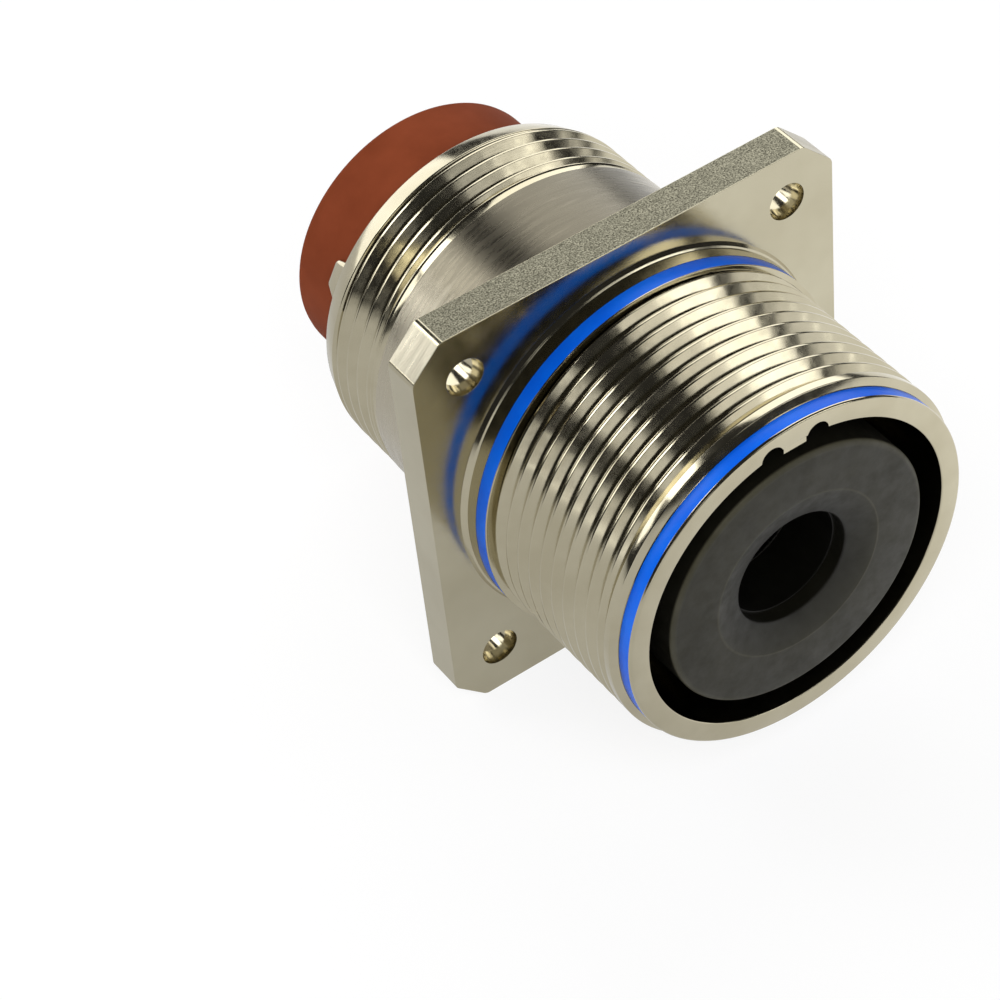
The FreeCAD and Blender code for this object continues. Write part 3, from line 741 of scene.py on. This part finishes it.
# %% Turn the hood and the painted rings
HOOD_WALL = 0.3
HOOD_LIP_RADIUS = 5.5
hood = turned("steel_hood", [
    (HOOD_LIP_RADIUS, CONTACT_MOUTH + 0.1, 0.08),
    (HOOD_RADIUS, CONTACT_MOUTH, 0.45),
    (HOOD_RADIUS, HOOD_END, 0.08),
    (HOOD_RADIUS - HOOD_WALL, HOOD_END),
    (HOOD_RADIUS - HOOD_WALL, CONTACT_MOUTH + 0.38, 0.3),
    (HOOD_LIP_RADIUS, CONTACT_MOUTH + 0.38, 0.08),
], steps=144)
rings = {}
for kind in ("broad", "middle", "narrow"):
    front = low("contact_marking_" + kind, 1)
    rear = high("contact_marking_" + kind, 1)
    rings[kind] = turned("painted_ring_" + kind, [
        (CRIMP_RADIUS - 0.08, front),
        (CRIMP_RADIUS + 0.004, front, 0.015),
        (CRIMP_RADIUS + 0.004, rear, 0.015),
        (CRIMP_RADIUS - 0.08, rear),
    ], steps=144)
    report(rings[kind])
report(hood)

# %% [markdown]
# The spring clip that holds the contact is complex and stays hidden, so its piece is a copy of
# the frame's own solid. That mesh comes as loose triangles, so the copy is merged and smoothed.

# %% Copy the clip
clear_selection()
clip = frame["nodes"]["contact_clip"].copy()
clip.data = clip.data.copy()
clip.name = "retention_clip"
clip.parent = None
bpy.context.scene.collection.objects.link(clip)
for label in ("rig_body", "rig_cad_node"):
    if label in clip:
        del clip[label]
take(clip)
bpy.ops.object.mode_set(mode="EDIT")
bpy.ops.mesh.select_all(action="SELECT")
bpy.ops.mesh.remove_doubles(threshold=MERGE)
bpy.ops.object.mode_set(mode="OBJECT")
smooth(30)
report(clip)

# %% [markdown]
# ## Finishes
#
# Each finish is a small net of nodes on the Principled shader. Patterns read Object
# coordinates, which are metres here, so a scale of 1000 gives features of a millimetre.

# %% Helpers for node materials
def new_finish(name, metal=0.0, roughness=0.5, specular=0.5):
    finish = bpy.data.materials.new(name)
    finish.use_nodes = True
    shader = finish.node_tree.nodes["Principled BSDF"]
    shader.inputs["Metallic"].default_value = metal
    shader.inputs["Roughness"].default_value = roughness
    shader.inputs["Specular IOR Level"].default_value = specular
    return finish


def wire(finish, output, socket_name):
    """Connect an output to the finish's Principled shader."""
    shader = finish.node_tree.nodes["Principled BSDF"]
    finish.node_tree.links.new(output, shader.inputs[socket_name])


def coordinates(finish, scale):
    nodes, links = finish.node_tree.nodes, finish.node_tree.links
    source = nodes.new("ShaderNodeTexCoord")
    mapping = nodes.new("ShaderNodeMapping")
    mapping.inputs["Scale"].default_value = scale
    links.new(source.outputs["Object"], mapping.inputs["Vector"])
    return mapping.outputs["Vector"]


def noise(finish, scale, detail=3.0):
    """A noise whose scale is one number, or three that stretch it."""
    node = finish.node_tree.nodes.new("ShaderNodeTexNoise")
    node.inputs["Scale"].default_value = 1.0
    node.inputs["Detail"].default_value = detail
    node.inputs["Roughness"].default_value = 0.55
    three = scale if isinstance(scale, tuple) else (scale, scale, scale)
    finish.node_tree.links.new(coordinates(finish, three), node.inputs["Vector"])
    return node.outputs["Fac"]


# %% [markdown]
# A noise gives a value round one half. Map Range stretches it to the numbers that a socket
# wants, a colour ramp turns it into a tint, and Bump turns it into a relief of the surface.

# %% Helpers: stretch a value, and turn it into a colour or a relief
def spread(finish, value, low_in, high_in, low_out, high_out):
    node = finish.node_tree.nodes.new("ShaderNodeMapRange")
    node.inputs["From Min"].default_value = low_in
    node.inputs["From Max"].default_value = high_in
    node.inputs["To Min"].default_value = low_out
    node.inputs["To Max"].default_value = high_out
    finish.node_tree.links.new(value, node.inputs["Value"])
    return node.outputs["Result"]


def tint(finish, value, first, second, start=0.35, end=0.65):
    node = finish.node_tree.nodes.new("ShaderNodeValToRGB")
    node.color_ramp.elements[0].position = start
    node.color_ramp.elements[0].color = (*first, 1)
    node.color_ramp.elements[1].position = end
    node.color_ramp.elements[1].color = (*second, 1)
    finish.node_tree.links.new(value, node.inputs["Fac"])
    return node.outputs["Color"]


def relief(finish, height, strength, distance, below=None):
    node = finish.node_tree.nodes.new("ShaderNodeBump")
    node.inputs["Strength"].default_value = strength
    node.inputs["Distance"].default_value = distance
    finish.node_tree.links.new(height, node.inputs["Height"])
    if below is not None:
        finish.node_tree.links.new(below, node.inputs["Normal"])
    return node.outputs["Normal"]


# %% [markdown]
# Nearly every finish here varies in the same three ways: its colour is mottled, its gloss is
# uneven and its surface has a fine relief. Each way is one noise, so each gets a helper.

# %% Helpers: mottle a colour, vary the gloss, raise a grain
def mottle(finish, scale, first, second, detail=3.0):
    wire(finish, tint(finish, noise(finish, scale, detail), first, second), "Base Color")


def vary_gloss(finish, scale, smoothest, roughest, detail=3.0):
    value = noise(finish, scale, detail)
    wire(finish, spread(finish, value, 0.3, 0.7, smoothest, roughest), "Roughness")


def raise_grain(finish, scale, strength, distance, detail=3.0):
    wire(finish, relief(finish, noise(finish, scale, detail), strength, distance), "Normal")


# %% [markdown]
# Nickel plate is bright and slightly yellow. Turned faces keep fine rings from the tool, which
# are a noise stretched so that it only changes along the axis, over a softer, broader relief.

# %% Bright nickel for the barrels
nickel = new_finish("bright_nickel", metal=1.0)
mottle(nickel, 180, (0.50, 0.455, 0.325), (0.56, 0.515, 0.38))
vary_gloss(nickel, 900, 0.10, 0.20)
tool_rings = relief(nickel, noise(nickel, (150, 7000, 150), detail=2), 0.04, 0.00002)
dents = relief(nickel, noise(nickel, (500, 900, 500), detail=2), 0.04, 0.00006, tool_rings)
wire(nickel, dents, "Normal")
print(nickel.name, "has", len(nickel.node_tree.nodes), "nodes")

# %% [markdown]
# The flange's broad faces are milled and then plated, so they are a little duller than the
# barrels and have no rings.

# %% Satin nickel for the flange
plate = new_finish("flange_nickel", metal=1.0)
mottle(plate, 120, (0.49, 0.45, 0.325), (0.54, 0.50, 0.37))
vary_gloss(plate, 700, 0.15, 0.24)
raise_grain(plate, 6000, 0.10, 0.00002)
print(plate.name, "has", len(plate.node_tree.nodes), "nodes")

# %% [markdown]
# The plate's edges were sawn, and plating over a rough cut sparkles in tiny grains. A fine noise
# drives both the colour and a strong relief. The cut corners were filed, which left a brushed
# look: the same net with its noise stretched across the plate.

# %% Grained nickel for the sawn edges, and brushed nickel for the cut corners
sawn = new_finish("sawn_nickel", metal=1.0)
mottle(sawn, 7500, (0.06, 0.056, 0.038), (0.32, 0.305, 0.225), detail=4)
vary_gloss(sawn, 2600, 0.3, 0.5, detail=4)
raise_grain(sawn, 7500, 0.5, 0.00005, detail=4)

brushed = new_finish("brushed_nickel", metal=1.0)
mottle(brushed, (260, 2200, 260), (0.44, 0.41, 0.32), (0.54, 0.50, 0.39), detail=4)
vary_gloss(brushed, (300, 3000, 300), 0.26, 0.40, detail=4)
raise_grain(brushed, (260, 7000, 260), 0.35, 0.00004, detail=4)
print(sawn.name, "and", brushed.name)

# %% [markdown]
# The rear neck is brushed, and its upper side carries painted shade. The height on the piece
# decides how dark it is. Streaks of noise are added to the height, so that the dark area has no hard
# edge.

# %% Dull nickel for the rear neck
PAINTED_SHADE_FROM = 9.0
PAINTED_SHADE_FULL = 12.5
dull = new_finish("dull_nickel", metal=1.0)
heights = dull.node_tree.nodes.new("ShaderNodeSeparateXYZ")
dull.node_tree.links.new(coordinates(dull, (1000, 1000, 1000)), heights.inputs["Vector"])
upper = spread(dull, heights.outputs["Z"], PAINTED_SHADE_FROM, PAINTED_SHADE_FULL, 0.0, 1.0)
streaks = spread(dull, noise(dull, (260, 2600, 260), detail=4), 0.3, 0.7, -0.12, 0.12)
darkness = dull.node_tree.nodes.new("ShaderNodeMath")
dull.node_tree.links.new(upper, darkness.inputs[0])
dull.node_tree.links.new(streaks, darkness.inputs[1])
# The darker colour is painted shade on the neck's upper side; the lighter one is the nickel's own.
unshaded, painted_shade = (0.52, 0.475, 0.37), (0.15, 0.135, 0.10)
wire(dull, tint(dull, darkness.outputs[0], unshaded, painted_shade, 0.05, 0.95), "Base Color")
vary_gloss(dull, (300, 3000, 300), 0.22, 0.34, detail=4)
raise_grain(dull, (260, 7000, 260), 0.3, 0.00004, detail=4)
print(dull.name, "has", len(dull.node_tree.nodes), "nodes")

# %% [markdown]
# The enamel is a strong blue with hardly any red in it, and its gloss is soft, so that the
# lamps don't wash the colour out.

# %% Blue enamel
enamel = new_finish("blue_enamel", roughness=0.35, specular=0.25)
mottle(enamel, 300, (0.0003, 0.13, 0.86), (0.001, 0.165, 0.94))
raise_grain(enamel, 1500, 0.1, 0.00005)
print(enamel.name, "has", len(enamel.node_tree.nodes), "nodes")

# %% [markdown]
# The insulator is a dull moulded plastic. Handling leaves pale dust and faint scratches on its
# face. The funnel's edge and the rounded outer edge are painted lighter. The funnel is painted
# darker, and the hole and the side wall nearly black, as painted shade in the recesses and on the
# side. All of these are rings, so one ramp over the distance from the axis sets them all.

# %% Tone the insulator in rings
RAMP_REACH = 12.5
TONE_SCALE = 0.4
# Tones below one paint shade into the hole, the funnel and the side wall; tones above one paint the
# funnel's edge and the outer edge lighter.
TONES = (
    (4.7, 0.05), (5.2, 0.5), (6.9, 0.8), (7.3, 1.0), (7.42, 1.9), (7.55, 1.05),
    (11.1, 1.0), (11.4, 1.9), (11.605, 2.4), (11.615, 0.1),
)
moulded = new_finish("moulded_insulator", specular=0.35)
net = moulded.node_tree
from_axis = net.nodes.new("ShaderNodeVectorMath")
from_axis.operation = "LENGTH"
net.links.new(coordinates(moulded, (1000, 0, 1000)), from_axis.inputs[0])
ring_tones = net.nodes.new("ShaderNodeValToRGB")
stops = ring_tones.color_ramp.elements
for radius, tone in TONES:
    stop = stops.new(radius / RAMP_REACH)
    stop.color = (tone * TONE_SCALE, tone * TONE_SCALE, tone * TONE_SCALE, 1)
stops.remove(stops[0])
stops.remove(stops[-1])
along_ramp = spread(moulded, from_axis.outputs["Value"], 0.0, RAMP_REACH, 0.0, 1.0)
net.links.new(along_ramp, ring_tones.inputs["Fac"])
print(len(stops), "tones from the axis to the side wall")

# %% [markdown]
# The rings multiply the plastic's own mottled colour. Mix in Multiply mode does this, and it
# leaves both colours easy to change on their own.

# %% Moulded insulator
toned = net.nodes.new("ShaderNodeMix")
toned.data_type = "RGBA"
toned.blend_type = "MULTIPLY"
toned.inputs["Factor"].default_value = 1.0
dust = noise(moulded, 350, detail=5)
net.links.new(tint(moulded, dust, (0.049, 0.0455, 0.027), (0.067, 0.0625, 0.040)), toned.inputs["A"])
net.links.new(ring_tones.outputs["Color"], toned.inputs["B"])
wire(moulded, toned.outputs["Result"], "Base Color")
vary_gloss(moulded, 900, 0.42, 0.6, detail=4)
raise_grain(moulded, 2500, 0.15, 0.00005, detail=4)
print(moulded.name, "has", len(net.nodes), "nodes")

# %% [markdown]
# Silicone is matt and takes hardly any highlight, so its specular level is close to nothing.

# %% Silicone seal
silicone = new_finish("red_silicone", roughness=0.75, specular=0.07)
mottle(silicone, 220, (0.205, 0.041, 0.0125), (0.248, 0.052, 0.0175), detail=4)
raise_grain(silicone, 1800, 0.12, 0.00005)
print(silicone.name, "has", len(silicone.node_tree.nodes), "nodes")

# %% [markdown]
# The contact's silver is frosted by the plating bath. Its hood is brushed along its length, so
# the noise is stretched along Y. The clip is plain spring steel, and the rings are thin paint.

# %% Silver plate, hood steel, spring steel and red paint
silver = new_finish("silver_plate", metal=1.0)
mottle(silver, 400, (0.72, 0.70, 0.62), (0.86, 0.85, 0.80), detail=5)
vary_gloss(silver, 900, 0.3, 0.45)
raise_grain(silver, 4000, 0.25, 0.00004, detail=4)

steel = new_finish("hood_steel", metal=1.0)
mottle(steel, (2500, 120, 2500), (0.22, 0.22, 0.225), (0.34, 0.34, 0.34))
vary_gloss(steel, (3500, 200, 3500), 0.24, 0.36)
raise_grain(steel, (4000, 150, 4000), 0.15, 0.00003)

spring = new_finish("spring_steel", metal=1.0)
mottle(spring, 700, (0.42, 0.42, 0.41), (0.52, 0.52, 0.50))
vary_gloss(spring, 1500, 0.25, 0.4)

paint = new_finish("red_paint", roughness=0.4)
mottle(paint, 900, (0.50, 0.008, 0.012), (0.62, 0.014, 0.02), detail=4)
raise_grain(paint, 3000, 0.15, 0.00004)
print(silver.name, steel.name, spring.name, paint.name)

# %% [markdown]
# ## Hand out the finishes
#
# Each row names a piece, its material, the body it rides on, the solid it stands for and the slot
# of its finish. Each piece gets its material and its body, and the solid it stands for is hidden.
# Three pieces together stand for the shell, which is one solid.

# %% Assign the finishes
dressing = [
    (front_barrel, nickel, "receptacle", ["shell"], "nickel_shell"),
    (flange, plate, "receptacle", ["shell"], "nickel_shell"),
    (rear_barrel, nickel, "receptacle", ["shell"], "nickel_shell"),
    (front_enamel, enamel, "receptacle", ["front_band"], "band_blue"),
    (rear_enamel, enamel, "receptacle", ["rear_band"], "band_blue"),
    (front_insulator, moulded, "receptacle", ["front_insert"], "insert_grey"),
    (rear_insulator, moulded, "receptacle", ["rear_insert"], "insert_grey"),
    (clip, spring, "receptacle", ["contact_clip"], "clip_steel"),
    (wire_seal, silicone, "receptacle", ["grommet"], "grommet_red"),
    (socket, silver, "contact", ["contact_body"], "contact_silver"),
    (hood, steel, "contact", ["contact_hood"], "hood_steel"),
]
for kind, ring in rings.items():
    dressing.append((ring, paint, "contact", ["contact_marking_" + kind], "marking_red"))
for piece, finish, body, stands_for, slot_name in dressing:
    piece.data.materials.clear()
    piece.data.materials.append(finish)
    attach(piece, body)
    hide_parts(*stands_for)
print(len(dressing), "pieces dressed")

# %% [markdown]
# The flange has four materials, handed out face by face. A face is known by the way it looks
# and by how far out it lies: the sawn edges, the cut corners and the walls of the four holes.
# All other faces keep the satin nickel.

# %% Give the flange its grained edges, brushed corners and bright holes
SAWN, BRUSHED, BRIGHT = 1, 2, 3
CORNER_REACH = 16.5
for finish in (sawn, brushed, nickel):
    flange.data.materials.append(finish)
for polygon in flange.data.polygons:
    facing = polygon.normal
    across = abs(polygon.center.x) / MM
    up = abs(polygon.center.z) / MM
    if abs(facing.z) > 0.99 and max(across, up) > FLANGE_HALF - 0.01:
        polygon.material_index = SAWN
    elif min(abs(facing.x), abs(facing.z)) > 0.6 and max(across, up) > CORNER_REACH:
        polygon.material_index = BRUSHED
    from_hole = math.hypot(across - HOLE_AT, up - HOLE_AT)
    if abs(facing.y) < 0.3 and from_hole < HOLE_RADIUS + 0.05:
        polygon.material_index = BRIGHT
print("flange:", [slot.material.name for slot in flange.material_slots])

# %% [markdown]
# The neck between the flange and the rear thread takes the dull nickel. Its faces are found by
# their place along the axis.

# %% Give the rear neck its brushed finish
rear_barrel.data.materials.append(dull)
neck_faces = 0
for polygon in rear_barrel.data.polygons:
    if FLANGE_THICKNESS + 0.2 < polygon.center.y / MM < NECK_END:
        polygon.material_index = 1
        neck_faces += 1
print("neck:", neck_faces, "faces")

# %% [markdown]
# ## Stage, light and camera
#
# Around the connector lies white paper, with a soft shadow. A paper lit by lamps alone would
# need so much light that the metal burns out. So the paper also glows where the camera looks at
# it, and where polished metal mirrors it, and stays plain paper for every other ray.

# %% Helpers: sums in the paper's nodes
paper = bpy.data.materials.new("paper")
paper.use_nodes = True
nodes, links = paper.node_tree.nodes, paper.node_tree.links


def times(first, second):
    """Multiply an output by another output, or by a number."""
    node = nodes.new("ShaderNodeMath")
    node.operation = "MULTIPLY"
    links.new(first, node.inputs[0])
    if isinstance(second, float):
        node.inputs[1].default_value = second
    else:
        links.new(second, node.inputs[1])
    return node.outputs[0]


def plus(first, second):
    node = nodes.new("ShaderNodeMath")
    links.new(first, node.inputs[0])
    links.new(second, node.inputs[1])
    return node.outputs[0]


# %% [markdown]
# A Mix Shader adds the glow to the plain paper. Light Path tells which kind of ray looks at it,
# and the paper's own X coordinate darkens the mirrored glow to the left, a painted shadow of the
# connector that the metal reflects.

# %% The paper's glow
SEEN_GLOW = 1.06
GLOW_SHARE = 0.8
surface = nodes["Principled BSDF"]
surface.inputs["Base Color"].default_value = (0.85, 0.85, 0.85, 1)
surface.inputs["Roughness"].default_value = 0.9
ray = nodes.new("ShaderNodeLightPath")
spot = nodes.new("ShaderNodeTexCoord")
spot_parts = nodes.new("ShaderNodeSeparateXYZ")
links.new(spot.outputs["Object"], spot_parts.inputs["Vector"])
# Darker to the left: a painted shadow in the paper that polished metal mirrors.
mirrored_glow_with_painted_shadow = spread(paper, spot_parts.outputs["X"], -0.012, 0.028, 0.66, 1.15)
seen, mirrored = ray.outputs["Is Camera Ray"], ray.outputs["Is Glossy Ray"]
strength = plus(times(seen, SEEN_GLOW), times(mirrored, mirrored_glow_with_painted_shadow))
glow = nodes.new("ShaderNodeEmission")
glow.inputs["Color"].default_value = (1, 1, 1, 1)
links.new(strength, glow.inputs["Strength"])
blend = nodes.new("ShaderNodeMixShader")
links.new(times(plus(seen, mirrored), GLOW_SHARE), blend.inputs["Fac"])
links.new(surface.outputs["BSDF"], blend.inputs[1])
links.new(glow.outputs["Emission"], blend.inputs[2])
links.new(blend.outputs["Shader"], nodes["Material Output"].inputs["Surface"])
print(paper.name, "has", len(nodes), "nodes")

# %% [markdown]
# The connector rests on the flange's lower edge, so the paper lies at that height. The world
# behind it is nearly black, because the lamps do the lighting.

# %% Floor and world
FLOOR_HEIGHT = -FLANGE_HALF * MM
FLOOR_SIZE = 4
clear_selection()
bpy.ops.mesh.primitive_plane_add(size=FLOOR_SIZE, location=(0, 0, FLOOR_HEIGHT))
floor = bpy.context.object
floor.name = "floor"
floor.data.materials.append(paper)

world = bpy.data.worlds.new("studio")
bpy.context.scene.world = world
world.use_nodes = True
sky = world.node_tree.nodes["Background"]
sky.inputs["Color"].default_value = (1, 1, 1, 1)
sky.inputs["Strength"].default_value = 0.03
print("floor at %.4f m" % FLOOR_HEIGHT)

# %% [markdown]
# Polished metal shows what stands around it, so it is lit like silverware: with large soft
# boxes and small white cards. Each one is an area lamp placed where a bright patch of the real
# metal reflects it, and the dark gaps between them give the metal its contrast. The fill lamp
# only lifts the dull pieces, so it is left out of reflections.

# %% Helper: a soft box
def softbox(name, direction, distance, width, height, brightness, along=(1, 0, 0)):
    """A rectangular lamp that looks at the connector; its width runs along a direction."""
    lamp = bpy.data.lights.new(name, "AREA")
    lamp.shape = "RECTANGLE"
    lamp.size = width
    lamp.size_y = height
    lamp.energy = brightness * math.pi * width * height
    holder = bpy.data.objects.new(name, lamp)
    bpy.context.scene.collection.objects.link(holder)
    away = Vector(direction).normalized()
    holder.location = away * distance
    rise = away.cross(Vector(along)).normalized()
    wide = rise.cross(away)
    holder.rotation_euler = Matrix((wide, rise, away)).transposed().to_euler()
    holder.visible_camera = False
    return holder


# %% [markdown]
# The key lamp and the rear cards light the top and the seal. The bright, warm and side cards
# make the light bands on the right of the thread, and the front and low ones those on its left.

# %% Place the lamps
softbox("key_lamp", (0.57, 0.59, 0.57), 0.6, 0.58, 0.52, 2.0, along=(-0.71, 0, 0.70))
softbox("rear_card", (-0.43, 0.65, 0.62), 0.6, 0.20, 0.34, 3.6, along=(-0.76, -0.1, -0.64))
softbox("backdrop_card", (-0.20, 0.97, 0.20), 0.7, 0.70, 0.40, 1.8)
softbox("bright_card", (0.604, -0.695, 0.391), 0.6, 0.27, 0.18, 2.3, along=(0.33, 0.18, -0.19))
softbox("warm_card", (0.281, -0.815, 0.508), 0.6, 0.18, 0.18, 1.15, along=(0.29, 0.08, -0.04))
softbox("side_card", (0.895, -0.437, 0.087), 0.6, 0.15, 0.12, 0.95)
softbox("front_card", (-0.294, -0.879, 0.375), 0.6, 0.115, 0.14, 0.95, along=(0.18, 0, 0.11))
softbox("low_card", (-0.572, -0.817, 0.07), 0.3, 0.08, 0.06, 0.85, along=(-0.12, 0.07, -0.25))
softbox("corner_card", (-0.70, 0.59, 0.36), 0.3, 0.10, 0.08, 2.4)
fill_lamp = softbox("fill_lamp", (-0.36, -0.58, 0.73), 0.6, 0.42, 0.36, 5.2)
fill_lamp.visible_glossy = False
print(len(bpy.data.lights), "lamps")

# %% [markdown]
# The camera stands where the photograph was taken from. Its place, the three angles and the
# lens were worked out from the connector's round edges in the picture, which is square. The
# angles are turned into three axes, and those are the columns of the camera's matrix.

# %% Camera
CAMERA_AT = (-96.34, -145.08, 173.20)
CAMERA_TURN = math.radians(-29.858)
CAMERA_RISE = math.radians(45.850)
CAMERA_ROLL = math.radians(-7.041)
FOCAL_PIXELS = 3204.3
IMAGE_SIZE = 1000
SENSOR_WIDTH = 36

camera_data = bpy.data.cameras.new("camera")
camera_data.sensor_width = SENSOR_WIDTH
camera_data.lens = SENSOR_WIDTH * FOCAL_PIXELS / IMAGE_SIZE
camera_data.clip_start = 0.01
camera = bpy.data.objects.new("camera", camera_data)
bpy.context.scene.collection.objects.link(camera)
back = Vector((math.sin(CAMERA_TURN) * math.cos(CAMERA_RISE),
               -math.cos(CAMERA_TURN) * math.cos(CAMERA_RISE), math.sin(CAMERA_RISE)))
across = Vector((0, 0, 1)).cross(back).normalized()
upright = back.cross(across)
right = across * math.cos(CAMERA_ROLL) + upright * math.sin(CAMERA_ROLL)
above = upright * math.cos(CAMERA_ROLL) - across * math.sin(CAMERA_ROLL)
camera.matrix_world = Matrix((
    (right.x, above.x, back.x, CAMERA_AT[0] * MM),
    (right.y, above.y, back.y, CAMERA_AT[1] * MM),
    (right.z, above.z, back.z, CAMERA_AT[2] * MM),
    (0, 0, 0, 1),
))
bpy.context.scene.camera = camera
bpy.context.scene.view_settings.view_transform = "Standard"
print("lens %.1f mm" % camera_data.lens)
